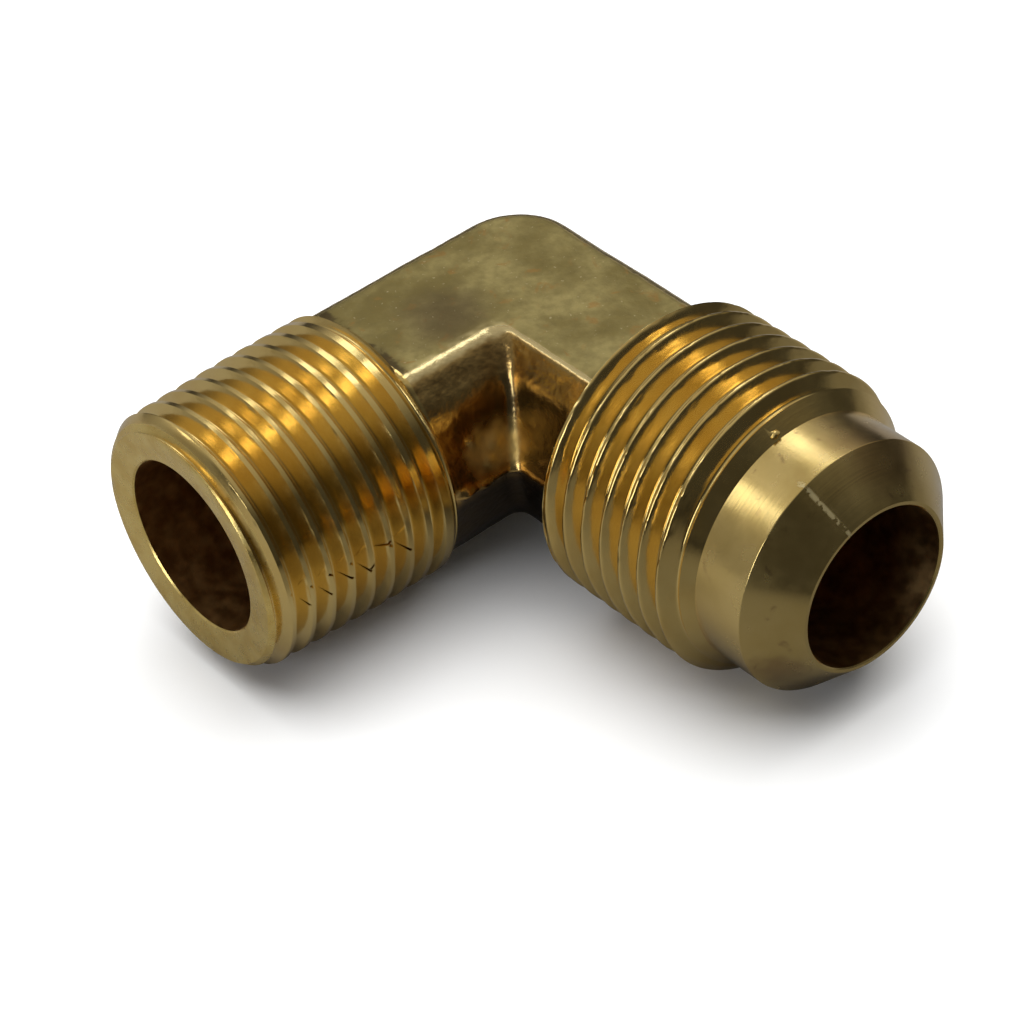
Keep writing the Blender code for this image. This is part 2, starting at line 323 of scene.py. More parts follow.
def turned(name, profile):
    """A closed solid of revolution about Z, from (radius, height) points that start and end on the axis."""
    rings = profile[1:-1]
    points = [(0, 0, profile[0][1]), (0, 0, profile[-1][1])]
    angles = [2 * math.pi * k / TURNED_COLUMNS for k in range(TURNED_COLUMNS)]
    for radius, height in rings:
        points += [(radius * math.cos(a), radius * math.sin(a), height) for a in angles]
    faces = []
    last = 2 + (len(rings) - 1) * TURNED_COLUMNS
    for k in range(TURNED_COLUMNS):
        following = (k + 1) % TURNED_COLUMNS
        faces.append((0, 2 + k, 2 + following))
        faces.append((1, last + following, last + k))
        for i in range(len(rings) - 1):
            upper = 2 + i * TURNED_COLUMNS
            lower = upper + TURNED_COLUMNS
            faces.append((upper + k, lower + k, lower + following, upper + following))
    return tidy_mesh(mesh_from(name, points, faces))


def rounded(before, corner, after, radius, steps):
    """Points of the arc of this radius that rounds the corner between two neighbouring points."""
    corner = Vector(corner)
    back = (Vector(before) - corner).normalized()
    onward = (Vector(after) - corner).normalized()
    half_angle = back.angle(onward) / 2
    centre = corner + (back + onward).normalized() * radius / math.sin(half_angle)
    tangent_length = radius / math.tan(half_angle)
    start = corner + back * tangent_length - centre
    end = corner + onward * tangent_length - centre
    return [tuple(centre + start.slerp(end, i / steps) * radius) for i in range(steps + 1)]


def rounded_profile(points, radii):
    """A profile whose inner corners are rounded, each by its own radius. A radius of 0 leaves it sharp."""
    profile = [points[0]]
    for i in range(1, len(points) - 1):
        if radii[i] > 0:
            profile += rounded(points[i - 1], points[i], points[i + 1], radii[i], PROFILE_STEPS)
        else:
            profile.append(points[i])
    return profile + [points[-1]]


# ---- threads ----

def tooth_height(turn, depth, crest, rounding):
    """Height above the root, in pitches, at this many turns along: 60 degree flanks, worn corners."""
    flank = depth * math.tan(FLANK_ANGLE)
    height = 0
    samples = np.linspace(-rounding, rounding, ROUNDING_SAMPLES)
    for shift in samples:
        from_crest = np.abs((turn + shift) % 1 - 0.5)
        height = height + np.clip((crest / 2 + flank - from_crest) / flank, 0, 1)
    return depth * height / len(samples)


def threaded_rod(name, pitch, length, crest_at, depth, crest, rounding, phase, runout):
    """A right-hand thread about Z from z = 0 to z = length, whose grooves run out towards z = 0."""
    turns = math.ceil(length / pitch) + 2
    rows = np.arange(turns * ROWS_PER_PITCH + 1) / ROWS_PER_PITCH - 1
    columns = np.arange(COLUMNS) / COLUMNS
    height = np.clip((rows[None, :] + columns[:, None]) * pitch, 0, length)
    along = height / pitch - columns[:, None] - phase
    groove = depth - tooth_height(along, depth, crest, rounding)
    fade = np.clip(height / (runout * pitch), 0, 1)
    radius = crest_at(height) - groove * pitch * np.sqrt(fade)
    angle = 2 * math.pi * columns[:, None]
    points = np.stack([radius * np.cos(angle), radius * np.sin(angle), height], axis=-1)
    count = len(rows)
    faces = []
    for k in range(COLUMNS - 1):
        here = k * count
        there = here + count
        faces += [(here + j, there + j, there + j + 1, here + j + 1) for j in range(count - 1)]
    here = (COLUMNS - 1) * count
    ahead = ROWS_PER_PITCH
    faces += [(here + j, j + ahead, j + ahead + 1, here + j + 1) for j in range(count - 1 - ahead)]
    rod = tidy_mesh(mesh_from(name, points.reshape(-1, 3).tolist(), faces))
    wear_crests(rod, crest_at)
    return rod


def wear_crests(rod, crest_at):
    """Lowers a thread's crests a little here and there."""
    for vertex in rod.data.vertices:
        point = vertex.co
        radius = math.hypot(point.x, point.y)
        if radius > crest_at(point.z) - CREST_WEAR_REACH:
            wear = noise.noise(point * BROAD_WEAR_WAVE)
            wear += FINE_WEAR_SHARE * noise.noise(point * FINE_WEAR_WAVE)
            shrink = 1 - CREST_WEAR * max(0.0, wear) / radius
            point.x *= shrink
            point.y *= shrink


# ---- the arms, each standing on z = 0 along +Z ----

def flare_arm():
    length = FLARE_THREAD_END - FLARE_THREAD_START
    arm = threaded_rod(
        "flare_arm", FLARE_PITCH, length + CLEAR, lambda height: FLARE_CREST_RADIUS,
        UNF_DEPTH, UNF_CREST, UNF_ROUNDING, FLARE_PHASE, FLARE_RUNOUT,
    )
    clear_radius = FLARE_CREST_RADIUS + CLEAR
    envelope = [
        (0, length + CLEAR / 2),
        (COLLAR_RADIUS - CLEAR / 2, length + CLEAR / 2),
        (clear_radius, length - (clear_radius - COLLAR_RADIUS)),
        (clear_radius, FLARE_BEVEL),
        (FLARE_CREST_RADIUS - FLARE_BEVEL, 0),
        (0, 0),
    ]
    combine(arm, turned("flare_envelope", envelope), "INTERSECT")
    nose = rounded_profile(
        [
            (0, TIP_END - FLARE_THREAD_START),
            (TIP_RADIUS, TIP_END - FLARE_THREAD_START),
            (COLLAR_RADIUS, CONE_START - FLARE_THREAD_START),
            (COLLAR_RADIUS, length - CLEAR),
            (0, length - CLEAR),
        ],
        (0, TIP_ROUNDING, CONE_ROUNDING, 0, 0),
    )
    combine(arm, turned("nose", nose), "UNION")
    neck = [
        (0, NECK_LENGTH),
        (NECK_RADIUS, NECK_LENGTH),
        (NECK_RADIUS, -BLOCK_OVERLAP),
        (0, -BLOCK_OVERLAP),
    ]
    return combine(arm, turned("neck", neck), "UNION")


def pipe_arm():
    length = PIPE_END - PIPE_THREAD_START
    arm = threaded_rod(
        "pipe_arm", PIPE_PITCH, length + CLEAR,
        lambda height: PIPE_END_CREST_RADIUS + PIPE_TAPER * (length - height),
        NPT_DEPTH, NPT_CREST, NPT_ROUNDING, PIPE_PHASE, PIPE_RUNOUT,
    )
    chamfer_end = length - PIPE_CHAMFER_LENGTH
    taper_end = length - (PIPE_BLANK_RADIUS - PIPE_BLANK_END_RADIUS) / PIPE_TAPER
    envelope = rounded_profile(
        [
            (0, length),
            (PIPE_END_FACE_RADIUS, length),
            (PIPE_BLANK_END_RADIUS + PIPE_TAPER * PIPE_CHAMFER_LENGTH, chamfer_end),
            (PIPE_BLANK_RADIUS, taper_end),
            (PIPE_BLANK_RADIUS, PIPE_BEVEL),
            (PIPE_BLANK_RADIUS - PIPE_BEVEL, 0),
            (0, 0),
        ],
        (0, PIPE_FACE_ROUNDING, PIPE_CHAMFER_ROUNDING, 0, 0, 0, 0),
    )
    return combine(arm, turned("pipe_envelope", envelope), "INTERSECT")


# ---- the forged block ----

def wall_curve(corners, shoulder_radius, edge_radius):
    """A wall's rounded section as (half width, height) points, from the parting plane to the flat."""
    parting, shoulder, edge = corners
    curve = [parting]
    curve += rounded(parting, shoulder, edge, shoulder_radius, EDGE_STEPS)
    curve += rounded(shoulder, edge, (0, FLAT_HEIGHT), edge_radius, EDGE_STEPS)
    return curve


def level_heights(curves):
    """Every height at which some wall's section bends, and their mirror images below the parting plane."""
    above = sorted({round(height, 3) for curve in curves for _, height in curve if height > 0})
    spaced = [0.0]
    for height in above:
        if height - spaced[-1] > LEVEL_SPACING:
            spaced.append(height)
    spaced[-1] = FLAT_HEIGHT
    return [-height for height in reversed(spaced[1:])] + spaced


def half_width(curve, height):
    return float(np.interp(abs(height), [point[1] for point in curve], [point[0] for point in curve]))


def elbow_outline(outer, pipe_wall, flare_wall, height):
    """The L-shaped outline of the block at this height."""
    flare = FLARE_THREAD_START + BLOCK_OVERLAP
    pipe = -PIPE_THREAD_START - BLOCK_OVERLAP
    share = (outer - FLAT_HALF_WIDTH) / (SIDE_HALF_WIDTH - FLAT_HALF_WIDTH)
    outer_radius = OUTER_CORNER_RADIUS + outer - FLAT_HALF_WIDTH
    inner_radius = INNER_CORNER_RADIUS + (CROOK_RADIUS - INNER_CORNER_RADIUS) * min(1, 2 * share)
    lean = DIE_LEAN * height
    outer -= lean
    pipe_wall += lean
    flare_wall += lean
    flare_outer = (flare, outer)
    flare_inner = (flare, -flare_wall)
    pipe_outer = (-outer, pipe)
    pipe_inner = (pipe_wall, pipe)
    outer_corner = (-outer, outer)
    crook = (pipe_wall, -flare_wall)
    outline = [flare_outer]
    outline += rounded(flare_outer, outer_corner, pipe_outer, outer_radius, CORNER_STEPS)
    outline += [pipe_outer, pipe_inner]
    outline += rounded(pipe_inner, crook, flare_inner, inner_radius, CORNER_STEPS)
    return outline + [flare_inner]


def forged_block():
    """A loft through the elbow's outlines, remeshed finely and given a forging's uneven skin."""
    curves = [wall_curve(*wall) for wall in (OUTER_WALL, PIPE_WALL, FLARE_WALL)]
    rings = []
    for height in level_heights(curves):
        widths = [half_width(curve, height) for curve in curves]
        rings.append([(x, y, height) for x, y in elbow_outline(*widths, height)])
    count = len(rings[0])
    points = [point for ring in rings for point in ring]
    faces = [tuple(range(count)), tuple(range(len(points) - count, len(points)))]
    for level in range(len(rings) - 1):
        low = level * count
        for i in range(count):
            j = (i + 1) % count
            faces.append((low + i, low + j, low + count + j, low + count + i))
    block = tidy_mesh(mesh_from("forged_block", points, faces))
    remesh = block.modifiers.new("remesh", "REMESH")
    remesh.mode = "VOXEL"
    remesh.voxel_size = BLOCK_VOXEL
    smooth = block.modifiers.new("smooth", "SMOOTH")
    smooth.factor = BLOCK_SMOOTHING
    smooth.iterations = BLOCK_SMOOTHINGS
    baked(block)
    roughen(block)
    return block


def roughen(block):
    """Moves the skin in and out: waves, a ridge of flash at the parting plane, and lumps."""
    mesh = block.data
    normals = [vertex.normal.copy() for vertex in mesh.vertices]
    wall_rise, wall_wave = WALL_WAVE
    for vertex, normal in zip(mesh.vertices, normals):
        point = vertex.co
        lift = 0
        for rise, wave in SKIN_WAVES:
            lift += rise * noise.noise(point * wave)
        wall = 1 - abs(normal.z)
        lift += wall * wall_rise * noise.noise(point * wall_wave + WALL_WAVE_SHIFT)
        ridge = FLASH_RISE * math.exp(-(point.z / FLASH_HALF_HEIGHT) ** 2)
        along_seam = Vector((point.x, point.y, 0)) * FLASH_WAVE
        lift += ridge * (1 + FLASH_UNEVENNESS * noise.noise(along_seam))
        for centre, size, rise in LUMPS:
            lift += rise * math.exp(-((point - Vector(centre)).length / size) ** 2)
        vertex.co = point + normal * lift


# ---- waterway, nicks and assembly ----

def drill(name, radius, entry):
    """A drill's path along +Z with its point below z = 0, widening at its entry's (radius, height)s."""
    point_length = radius / math.tan(DRILL_POINT / 2)
    outside = (0, entry[0][1])
    bore = [(radius, -DRILL_RUN_PAST), (0, -DRILL_RUN_PAST - point_length)]
    return turned(name, [outside] + entry + bore)


def flare_drill():
    entry = [
        (FLARE_MOUTH_RADIUS + CLEAR, TIP_END + CLEAR),
        (FLARE_BORE_RADIUS, TIP_END - (FLARE_MOUTH_RADIUS - FLARE_BORE_RADIUS)),
    ]
    return drill("flare_drill", FLARE_BORE_RADIUS, entry)


def pipe_drill():
    mouth = PIPE_END - PIPE_RECESS_DEPTH
    entry = [
        (2 * PIPE_RECESS_RADIUS - PIPE_MOUTH_RADIUS, PIPE_END + PIPE_RECESS_DEPTH),
        (PIPE_MOUTH_RADIUS, mouth),
        (PIPE_BORE_RADIUS, mouth - (PIPE_MOUTH_RADIUS - PIPE_BORE_RADIUS)),
    ]
    return drill("pipe_drill", PIPE_BORE_RADIUS, entry)


def nick(centre, tilt):
    """A thin wedge that lies across a crest on the arm's +X side, tilted by tilt from the arm's axis."""
    half = NICK_LENGTH / 2
    wide = NICK_WIDTH / 2
    points = []
    for along in (-half, half):
        points += [(NICK_DEPTH, along, -wide), (NICK_DEPTH, along, wide), (-NICK_DEPTH, along, 0)]
    faces = [(0, 1, 2), (3, 5, 4), (0, 3, 4, 1), (1, 4, 5, 2), (2, 5, 3, 0)]
    wedge = mesh_from("nick", points, faces)
    wedge.data.transform(Matrix.Translation(centre) @ Matrix.Rotation(tilt, 4, "X"))
    return tidy_mesh(wedge)


def cut_nicks(elbow):
    """The forging's parting seam reopens as short dark nicks across the pipe thread's outer crests."""
    draws = np.random.default_rng(NICK_SEED)
    for k in range(NICKS):
        y = NICK_START - k * PIPE_PITCH
        radius = PIPE_END_CREST_RADIUS + PIPE_TAPER * (PIPE_END + y)
        height = float(draws.uniform(-NICK_SPREAD, NICK_SPREAD))
        tilt = math.radians(float(draws.uniform(*NICK_TILTS)))
        tilt *= float(draws.choice((-1, 1)))
        combine(elbow, nick((min(radius, PIPE_BLANK_RADIUS), y, height), tilt), "DIFFERENCE")


def add_burr(elbow):
    """The tool left a ragged burr where the flare thread's last crest meets the collar."""
    height = BURR_SIZE * BURR_FLATNESS
    turns = np.linspace(0, math.pi, BURR_STEPS)[1:-1]
    side = [(BURR_SIZE * math.sin(turn), height * math.cos(turn)) for turn in turns]
    burr = turned("burr", [(0, height)] + side + [(0, -height)])
    for vertex in burr.data.vertices:
        vertex.co *= 1 + BURR_RAGGEDNESS * noise.noise(vertex.co * BURR_WAVE)
    burr.data.transform(Matrix.Translation(BURR_PLACE))
    combine(elbow, burr, "UNION")


def to_flare_axis(obj, distance):
    obj.data.transform(Matrix.Translation((distance, 0, 0)) @ Matrix.Rotation(math.pi / 2, 4, "Y"))
    return obj


def to_pipe_axis(obj, distance):
    obj.data.transform(Matrix.Translation((0, -distance, 0)) @ Matrix.Rotation(math.pi / 2, 4, "X"))
    return obj


def elbow_mesh():
    elbow = forged_block()
    combine(elbow, to_flare_axis(flare_arm(), FLARE_THREAD_START), "UNION")
    combine(elbow, to_pipe_axis(pipe_arm(), PIPE_THREAD_START), "UNION")
    combine(elbow, to_flare_axis(flare_drill(), 0), "DIFFERENCE")
    combine(elbow, to_pipe_axis(pipe_drill(), 0), "DIFFERENCE")
    cut_nicks(elbow)
    add_burr(elbow)
    return elbow


# ---- materials ----

def drill_reach(radius):
    """How far past the crossing a drill's point goes."""
    return DRILL_RUN_PAST + radius / math.tan(DRILL_POINT / 2)


def zone(centre, normal):
    """Which surface of the elbow a face belongs to."""
    from_flare_axis = math.hypot(centre.y, centre.z)
    from_pipe_axis = math.hypot(centre.x, centre.z)
    along_flare_bore = -drill_reach(FLARE_BORE_RADIUS) < centre.x < TIP_END - TIP_DEPTH
    along_pipe_bore = -PIPE_END + MOUTH_DEPTH < centre.y < drill_reach(PIPE_BORE_RADIUS)
    if along_flare_bore and from_flare_axis < FLARE_BORE_RADIUS + BORE_SKIN:
        return BORE
    if along_pipe_bore and from_pipe_axis < PIPE_BORE_RADIUS + BORE_SKIN:
        return BORE
    if centre.x > FLARE_THREAD_START - SEAM_SLACK:
        return NOSE if centre.x > FLARE_THREAD_END - SEAM_SLACK else THREAD
    if centre.y < -PIPE_THREAD_START + SEAM_SLACK:
        faces_out = centre.y < -PIPE_END + END_DEPTH and normal.y < -END_COSINE
        within_end = from_pipe_axis < PIPE_END_FACE_RADIUS + END_EDGE
        return END_FACE if faces_out and within_end else THREAD
    return FORGED


def feed(tree, socket, value):
    """Links the input to value if that is a socket, and otherwise sets it to value."""
    if isinstance(value, bpy.types.NodeSocket):
        tree.links.new(value, socket)
    else:
        socket.default_value = value


def node(tree, kind, settings=(), **inputs):
    """Adds a shader node with its settings, and feeds its inputs. An input i3 is the fourth one."""
    made = tree.nodes.new(kind)
    for name, value in settings:
        setattr(made, name, value)
    for name, value in inputs.items():
        numbered = name[0] == "i" and name[1:].isdigit()
        feed(tree, made.inputs[int(name[1:]) if numbered else name], value)
    return made


def math_node(tree, operation, first, second=0.5):
    return node(tree, "ShaderNodeMath", [("operation", operation)], i0=first, i1=second).outputs[0]


def times(tree, first, second):
    return math_node(tree, "MULTIPLY", first, second)


def plus(tree, first, second):
    return math_node(tree, "ADD", first, second)


def mix_colours(tree, share, first, second):
    """The first colour, with this share of the second. The node's colours are its inputs 6 and 7."""
    return node(tree, "ShaderNodeMix", [("data_type", "RGBA")], i0=share, i6=first, i7=second).outputs[2]


def mix_numbers(tree, share, first, second):
    """The first number, with this share of the second. The node's numbers are its inputs 2 and 3."""
    return node(tree, "ShaderNodeMix", i0=share, i2=first, i3=second).outputs[0]


def grey_of(tree, value):
    return node(tree, "ShaderNodeCombineColor", Red=value, Green=value, Blue=value).outputs["Color"]


def split(tree, vector):
    """The vector's parts, as outputs named X, Y and Z."""
    return node(tree, "ShaderNodeSeparateXYZ", i0=vector).outputs


def ramp(tree, value, low, high, low_out=0.0, high_out=1.0):
    """Maps value from low..high to low_out..high_out, smoothly and within those limits."""
    made = node(tree, "ShaderNodeMapRange", [("interpolation_type", "SMOOTHSTEP")])
    tree.links.new(value, made.inputs["Value"])
    made.inputs["From Min"].default_value = low
    made.inputs["From Max"].default_value = high
    made.inputs["To Min"].default_value = low_out
    made.inputs["To Max"].default_value = high_out
    return made.outputs["Result"]


def place(tree, scale=(1, 1, 1)):
    """The shaded point in millimetres from the CAD's origin, stretched by scale."""
    coordinates = node(tree, "ShaderNodeTexCoord").outputs["Object"]
    mapping = node(tree, "ShaderNodeMapping", [("vector_type", "POINT")], Vector=coordinates)
    mapping.inputs["Scale"].default_value = tuple(axis / MM for axis in scale)
    return mapping.outputs["Vector"]


def blotches(tree, size, detail=4.0, scale=(1, 1, 1), distortion=0.0):
    """Noise whose features are about size millimetres across."""
    made = node(tree, "ShaderNodeTexNoise", Vector=place(tree, scale))
    made.inputs["Scale"].default_value = 1 / size
    made.inputs["Detail"].default_value = detail
    made.inputs["Roughness"].default_value = BLOTCH_ROUGHNESS
    made.inputs["Distortion"].default_value = distortion
    return made.outputs["Fac"]


def bumped(tree, height, strength, distance, normal=None):
    made = node(tree, "ShaderNodeBump", Height=height)
    made.inputs["Strength"].default_value = strength
    made.inputs["Distance"].default_value = distance * MM
    if normal is not None:
        tree.links.new(normal, made.inputs["Normal"])
    return made.outputs["Normal"]


def direction(azimuth, elevation):
    """A unit vector towards this azimuth and elevation in degrees. Azimuth 0 is -Y, and 90 is +X."""
    a = math.radians(azimuth)
    e = math.radians(elevation)
    return Vector((math.sin(a) * math.cos(e), -math.cos(a) * math.cos(e), math.sin(e)))


def vector_math(tree, operation, output, **inputs):
    """The result that this operation leaves in the output of this name."""
    return node(tree, "ShaderNodeVectorMath", [("operation", operation)], **inputs).outputs[output]


def reach_towards(tree, vector, azimuth, elevation):
    """How far the vector goes towards this azimuth and elevation."""
    return vector_math(tree, "DOT_PRODUCT", "Value", i0=vector, i1=direction(azimuth, elevation))


def around(tree, centre, inner, outer):
    """1 within inner millimetres of a centre given from the arms' crossing, fading raggedly to 0 at outer."""
    wander = node(tree, "ShaderNodeTexNoise", Vector=place(tree), Scale=WANDER_WAVE).outputs["Color"]
    reach = (WANDER, WANDER, WANDER)
    moved = vector_math(tree, "MULTIPLY_ADD", "Vector", i0=wander, i1=reach, i2=place(tree))
    mean_wander = Vector(reach) / 2
    target = Vector(centre) + mean_wander - Vector((0, 0, FLAT_HEIGHT))
    gap = vector_math(tree, "DISTANCE", "Value", i0=moved, i1=target)
    return ramp(tree, gap, inner, outer, 1.0, 0.0)


def thread_foot_shade(tree):
    """High right beside either thread, in the crease where shade is painted, and 0 beyond about a millimetre
    from it.
    """
    spot = split(tree, place(tree))
    uneven = ramp(tree, blotches(tree, 0.9), 0.3, 0.7, 0.05, 0.55)
    flare_gap = math_node(tree, "SUBTRACT", FLARE_THREAD_START, spot["X"])
    pipe_gap = plus(tree, spot["Y"], PIPE_THREAD_START)
    gap = math_node(tree, "SUBTRACT", math_node(tree, "MINIMUM", flare_gap, pipe_gap), uneven)
    return ramp(tree, gap, 0.0, 0.5, 0.8, 0.0)


def new_metal(name, film=0.0):
    """A metal with this much of a clear film of oil over it."""
    material = bpy.data.materials.new(name)
    material.use_nodes = True
    tree = material.node_tree
    shader = tree.nodes["Principled BSDF"]
    shader.inputs["Metallic"].default_value = 1.0
    shader.inputs["Coat Weight"].default_value = film
    shader.inputs["Coat Roughness"].default_value = 0.15
    return material, tree, shader


def wire(tree, shader, colour, roughness, normal):
    tree.links.new(colour, shader.inputs["Base Color"])
    tree.links.new(roughness, shader.inputs["Roughness"])
    tree.links.new(normal, shader.inputs["Normal"])


def scale_colour(tree, broad, grain):
    """The flats: olive-brown scale with darker grain, orange stains, one dark smudge and pale specks."""
    colour = mix_colours(tree, broad, *SCALE_PAIR)
    colour = mix_colours(tree, times(tree, grain, 0.45), colour, SCALE_GRAIN)
    stain = ramp(tree, blotches(tree, 1.3, detail=5, distortion=0.6), 0.58, 0.70, 0.0, 0.6)
    colour = mix_colours(tree, stain, colour, SCALE_STAIN)
    colour = mix_colours(tree, times(tree, around(tree, *FLAT_SMUDGE), 0.75), colour, SCALE_SMUDGE)
    speck = ramp(tree, blotches(tree, 0.32, detail=2), 0.66, 0.76, 0.0, 0.6)
    return mix_colours(tree, speck, colour, SCALE_SPECK)


def wall_colour(tree, broad, grain, upright, rough_spot_and_glint):
    """The walls: warm brass, with painted shade in places about the crook, a golden painted glint and pale
    painted highlights on the edges.
    """
    colour = mix_colours(tree, broad, *WALL_PAIR)
    colour = mix_colours(tree, times(tree, grain, 0.5), colour, WALL_GRAIN)
    height = split(tree, place(tree))["Z"]
    # Painted shade: nearly black below the parting line about the crook
    under = ramp(tree, height, -FLAT_HEIGHT - 1.2, -FLAT_HEIGHT + 0.1, 0.85, 0.0)
    colour = mix_colours(tree, times(tree, under, around(tree, *CROOK_SHADE)), colour, UNDERSIDE_SHADE)
    # Painted shade on the flare side's wall
    colour = mix_colours(tree, times(tree, around(tree, *SHADED_WALL), 0.7), colour, WALL_SHADE)
    # Painted glint: a golden spot on the wall
    colour = mix_colours(tree, rough_spot_and_glint, colour, PAINTED_GLINT)
    # Painted highlight on the fillets between the walls and the flat
    edge_highlight = ramp(tree, upright, 0.74, 0.88, 0.0, 0.8)
    return mix_colours(tree, edge_highlight, colour, EDGE_HIGHLIGHT)


def forged_skin():
    """Unmachined forging: dull olive-brown scale on the flats, warmer and shinier brass on the walls."""
    material, tree, shader = new_metal("forged_skin")
    normal = node(tree, "ShaderNodeNewGeometry").outputs["Normal"]
    upright = math_node(tree, "ABSOLUTE", split(tree, normal)["Z"])
    flat = ramp(tree, upright, 0.965, 0.995)
    broad = ramp(tree, blotches(tree, 4.0), 0.35, 0.65)
    grain = ramp(tree, blotches(tree, 0.7, detail=6), 0.35, 0.7)
    # A rough spot on the wall that also carries a painted glint
    rough_spot_and_glint = around(tree, *ROUGH_SPOT_AND_GLINT)
    wall = wall_colour(tree, broad, grain, upright, rough_spot_and_glint)
    colour = mix_colours(tree, flat, wall, scale_colour(tree, broad, grain))
    # Painted shade on the flats in the crease at the foot of each thread
    colour = mix_colours(tree, times(tree, flat, thread_foot_shade(tree)), colour, THREAD_FOOT_SHADE)
    roughness = ramp(tree, flat, 0.0, 1.0, 0.22, 0.50)
    roughness = plus(tree, roughness, ramp(tree, rough_spot_and_glint, 0, 1, 0, 0.3))
    fine = bumped(tree, blotches(tree, 0.25, detail=5), 0.5, 0.03)
    depth = ramp(tree, flat, 0.0, 1.0, 0.11, 0.05)
    pits = times(tree, blotches(tree, 1.2, detail=3), depth)
    wire(tree, shader, colour, roughness, bumped(tree, pits, 0.4, 1.0, fine))
    return material


def machined_thread():
    """Cut thread: bright brass with fine tool lines that run round each arm."""
    material, tree, shader = new_metal("machined_thread", OIL_FILM)
    broad = ramp(tree, blotches(tree, 3.5), 0.3, 0.7)
    colour = mix_colours(tree, broad, *THREAD_PAIR)
    roughness = ramp(tree, blotches(tree, 0.8), 0.3, 0.7, 0.13, 0.22)
    on_flare_arm = math_node(tree, "GREATER_THAN", split(tree, place(tree))["X"], FLARE_THREAD_START - 1)
    pipe_streaks = blotches(tree, 0.16, detail=3, scale=(0.12, 1, 0.12))
    flare_streaks = blotches(tree, 0.16, detail=3, scale=(1, 0.12, 0.12))
    streaks = mix_numbers(tree, on_flare_arm, pipe_streaks, flare_streaks)
    normal = bumped(tree, blotches(tree, 0.35, detail=4), 0.10, 0.006)
    normal = bumped(tree, streaks, 0.45, 0.012, normal)
    wire(tree, shader, colour, roughness, normal)
    return material


def turned_nose():
    """Turned collar and cone: rings of tool marks, small stains, two tarnished patches and a scratch."""
    material, tree, shader = new_metal("turned_nose", OIL_FILM)
    broad = ramp(tree, blotches(tree, 3.0), 0.3, 0.7)
    colour = mix_colours(tree, broad, *NOSE_PAIR)
    stain = ramp(tree, blotches(tree, 1.1, detail=5, distortion=0.8), 0.62, 0.74, 0.0, 0.55)
    colour = mix_colours(tree, stain, colour, NOSE_STAIN)
    for patch in (CONE_TARNISH, TIP_TARNISH):
        colour = mix_colours(tree, times(tree, around(tree, *patch), 0.55), colour, TARNISH)
    scratch = scratch_down_cone(tree)
    colour = mix_colours(tree, scratch, colour, SCRATCH)
    rings = blotches(tree, 0.12, detail=2, scale=(1, 0.02, 0.02))
    roughness = ramp(tree, blotches(tree, 1.5), 0.3, 0.7, 0.18, 0.28)
    roughness = plus(tree, roughness, times(tree, scratch, 0.4))
    wire(tree, shader, colour, roughness, bumped(tree, rings, 0.35, 0.012))
    return material


def scratch_down_cone(tree):
    """A broken pale scratch that runs down the cone to its tip, on the side over the crook."""
    spot = split(tree, place(tree))
    above_axis = plus(tree, spot["Z"], FLAT_HEIGHT)
    turn = math_node(tree, "ARCTAN2", spot["Y"], above_axis)
    offset = math_node(tree, "ABSOLUTE", plus(tree, turn, SCRATCH_TURN))
    line = ramp(tree, offset, SCRATCH_CORE, SCRATCH_EDGE, 1.0, 0.0)
    broken = ramp(tree, blotches(tree, 0.45, detail=3), 0.46, 0.54)
    on_cone = ramp(tree, spot["X"], CONE_START - 1.0, CONE_START + 0.3)
    return times(tree, times(tree, line, broken), on_cone)


def faced_end():
    """The pipe end's faced and countersunk ring, with scuffs."""
    material, tree, shader = new_metal("faced_end")
    broad = ramp(tree, blotches(tree, 1.4, detail=5), 0.3, 0.7)
    colour = mix_colours(tree, broad, *END_PAIR)
    roughness = ramp(tree, blotches(tree, 0.6), 0.3, 0.7, 0.24, 0.38)
    normal = bumped(tree, blotches(tree, 0.4, detail=5), 0.35, 0.02)
    wire(tree, shader, colour, roughness, normal)
    return material


def dull_bore():
    """The drilled waterway: darker brown brass that gives little light back."""
    material, tree, shader = new_metal("dull_bore")
    broad = ramp(tree, blotches(tree, 2.0, detail=5), 0.3, 0.7)
    colour = mix_colours(tree, broad, *BORE_PAIR)
    roughness = ramp(tree, blotches(tree, 1.0), 0.3, 0.7, 0.3, 0.45)
    normal = bumped(tree, blotches(tree, 0.3, detail=3), 0.3, 0.02)
    wire(tree, shader, colour, roughness, normal)
    return material


def dress(elbow):
    elbow.data.materials.clear()
    for material in (forged_skin(), machined_thread(), turned_nose(), faced_end(), dull_bore()):
        elbow.data.materials.append(material)
    for face in elbow.data.polygons:
        face.material_index = zone(face.center, face.normal)


# ---- the stage ----

def build_stage():
    """A pale disc under the elbow. The metal mirrors it as a dark grey that fades out past the flare arm."""
    rim = FLOOR_RADIUS
    floor = turned("floor", [(0, 0), (rim, 0), (rim, -FLOOR_THICKNESS), (0, -FLOOR_THICKNESS)])
    floor.data.transform(Matrix.Translation((0, 0, CAD_BOX[0].z - FLOOR_GAP)) @ Matrix.Scale(MM, 4))
    material = bpy.data.materials.new("pale_floor")
    material.use_nodes = True
    tree = material.node_tree
    shader = tree.nodes["Principled BSDF"]
    mirrored = node(tree, "ShaderNodeLightPath").outputs["Is Glossy Ray"]
    spot = place(tree)
    shade = ramp(tree, split(tree, spot)["X"], 14, 40, 0.20, 0.10)
    fade = ramp(tree, reach_towards(tree, spot, 80, 0), 60, 150, 1.0, 0.15)
    colour = mix_colours(tree, mirrored, FLOOR_COLOUR, grey_of(tree, times(tree, fade, shade)))
    tree.links.new(colour, shader.inputs["Base Color"])
    shader.inputs["Roughness"].default_value = 0.9
    shader.inputs["Specular IOR Level"].default_value = 0.0
    floor.data.materials.append(material)


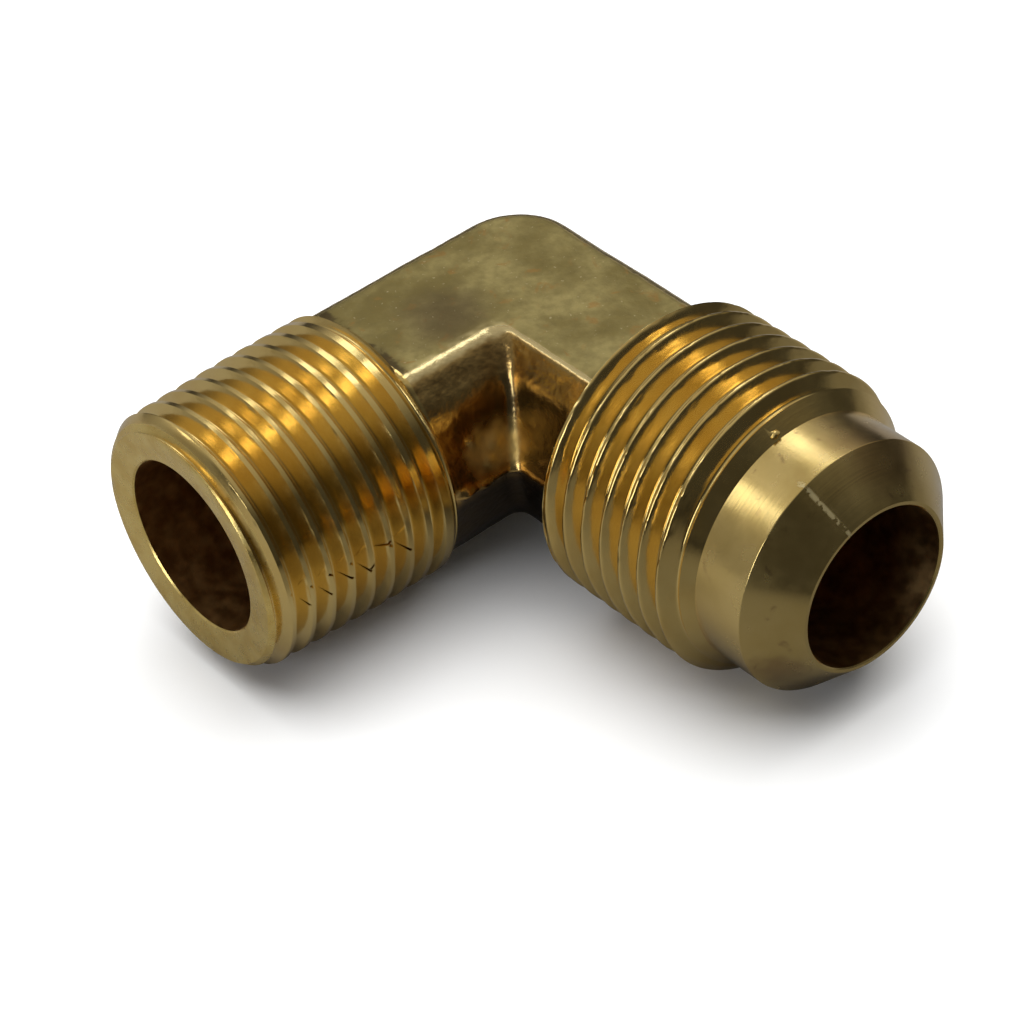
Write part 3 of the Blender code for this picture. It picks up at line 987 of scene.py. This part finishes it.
def softbox(name, azimuth, elevation, distance, width, height, brightness, tint):
    """A rectangular light, width by height metres, that faces the elbow and looks this bright from it."""
    light = bpy.data.lights.new(name, "AREA")
    light.shape = "RECTANGLE"
    light.size = width
    light.size_y = height
    light.energy = brightness * math.pi * width * height
    light.color = tint
    obj = bpy.data.objects.new(name, light)
    bpy.context.scene.collection.objects.link(obj)
    towards = direction(azimuth, elevation)
    obj.location = Vector((0, 0, AXIS_HEIGHT)) + towards * distance
    obj.rotation_mode = "QUATERNION"
    obj.rotation_quaternion = towards.to_track_quat("Z", "Y")
    return obj


def build_lights():
    """Small boxes light the metal. A wide one, which the metal doesn't mirror, lights the floor."""
    for settings in SOFTBOXES:
        softbox(*settings, COOL)
    floor_light = softbox(*FLOOR_LIGHT, WHITE)
    floor_light.visible_glossy = False


def build_world():
    """Pale to the camera. In reflections it's a dim room that brightens overhead and to the left."""
    world = bpy.data.worlds.new("studio")
    bpy.context.scene.world = world
    world.use_nodes = True
    tree = world.node_tree
    background = tree.nodes["Background"]
    towards = node(tree, "ShaderNodeTexCoord").outputs["Generated"]
    behind = reach_towards(tree, towards, -127, 60)
    up = split(tree, towards)["Z"]
    overhead = times(tree, ramp(tree, behind, 0.2, 0.95, 0.0, 0.38), ramp(tree, up, 0.1, 0.6))
    left = reach_towards(tree, towards, -52, 18)
    side = ramp(tree, left, 0.6, 1.0, 0.045, 0.25)
    seen = node(tree, "ShaderNodeLightPath").outputs["Is Camera Ray"]
    colour = mix_colours(tree, seen, grey_of(tree, plus(tree, overhead, side)), BACKDROP)
    tree.links.new(colour, background.inputs["Color"])


def build_camera():
    """Stands at the viewpoint with its roll, turned to the middle of the elbow."""
    right = Vector((math.cos(CAMERA_AZIMUTH), math.sin(CAMERA_AZIMUTH), 0))
    back = direction(math.degrees(CAMERA_AZIMUTH), math.degrees(CAMERA_ELEVATION))
    up = back.cross(right)
    orientation = Matrix((right, up, back)).transposed().to_quaternion()
    roll = Matrix.Rotation(CAMERA_ROLL, 4, back).to_quaternion()
    crossing = Vector((0, 0, AXIS_HEIGHT))
    location = crossing + back * CAMERA_DISTANCE
    middle = crossing + Vector(AIM) * MM
    turn = (-back).rotation_difference((middle - location).normalized())
    camera = bpy.data.objects.new("camera", bpy.data.cameras.new("camera"))
    bpy.context.scene.collection.objects.link(camera)
    camera.location = location
    camera.rotation_mode = "QUATERNION"
    camera.rotation_quaternion = turn @ roll @ orientation
    camera.data.lens = CAMERA_LENS
    camera.data.clip_start = CAMERA_CLIP_START
    bpy.context.scene.camera = camera


elbow = elbow_mesh()
elbow.name = "brass_elbow"
elbow.data.name = "brass_elbow"
dress(elbow)
elbow.data.shade_smooth()
elbow.data.set_sharp_from_angle(angle=SHARP_ANGLE)
elbow.data.transform(Matrix.Translation((0, 0, AXIS_HEIGHT)) @ Matrix.Scale(MM, 4))
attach(elbow, "root")
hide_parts("elbow_body")

build_stage()
build_world()
build_lights()
build_camera()
bpy.context.scene.view_settings.view_transform = "Standard"
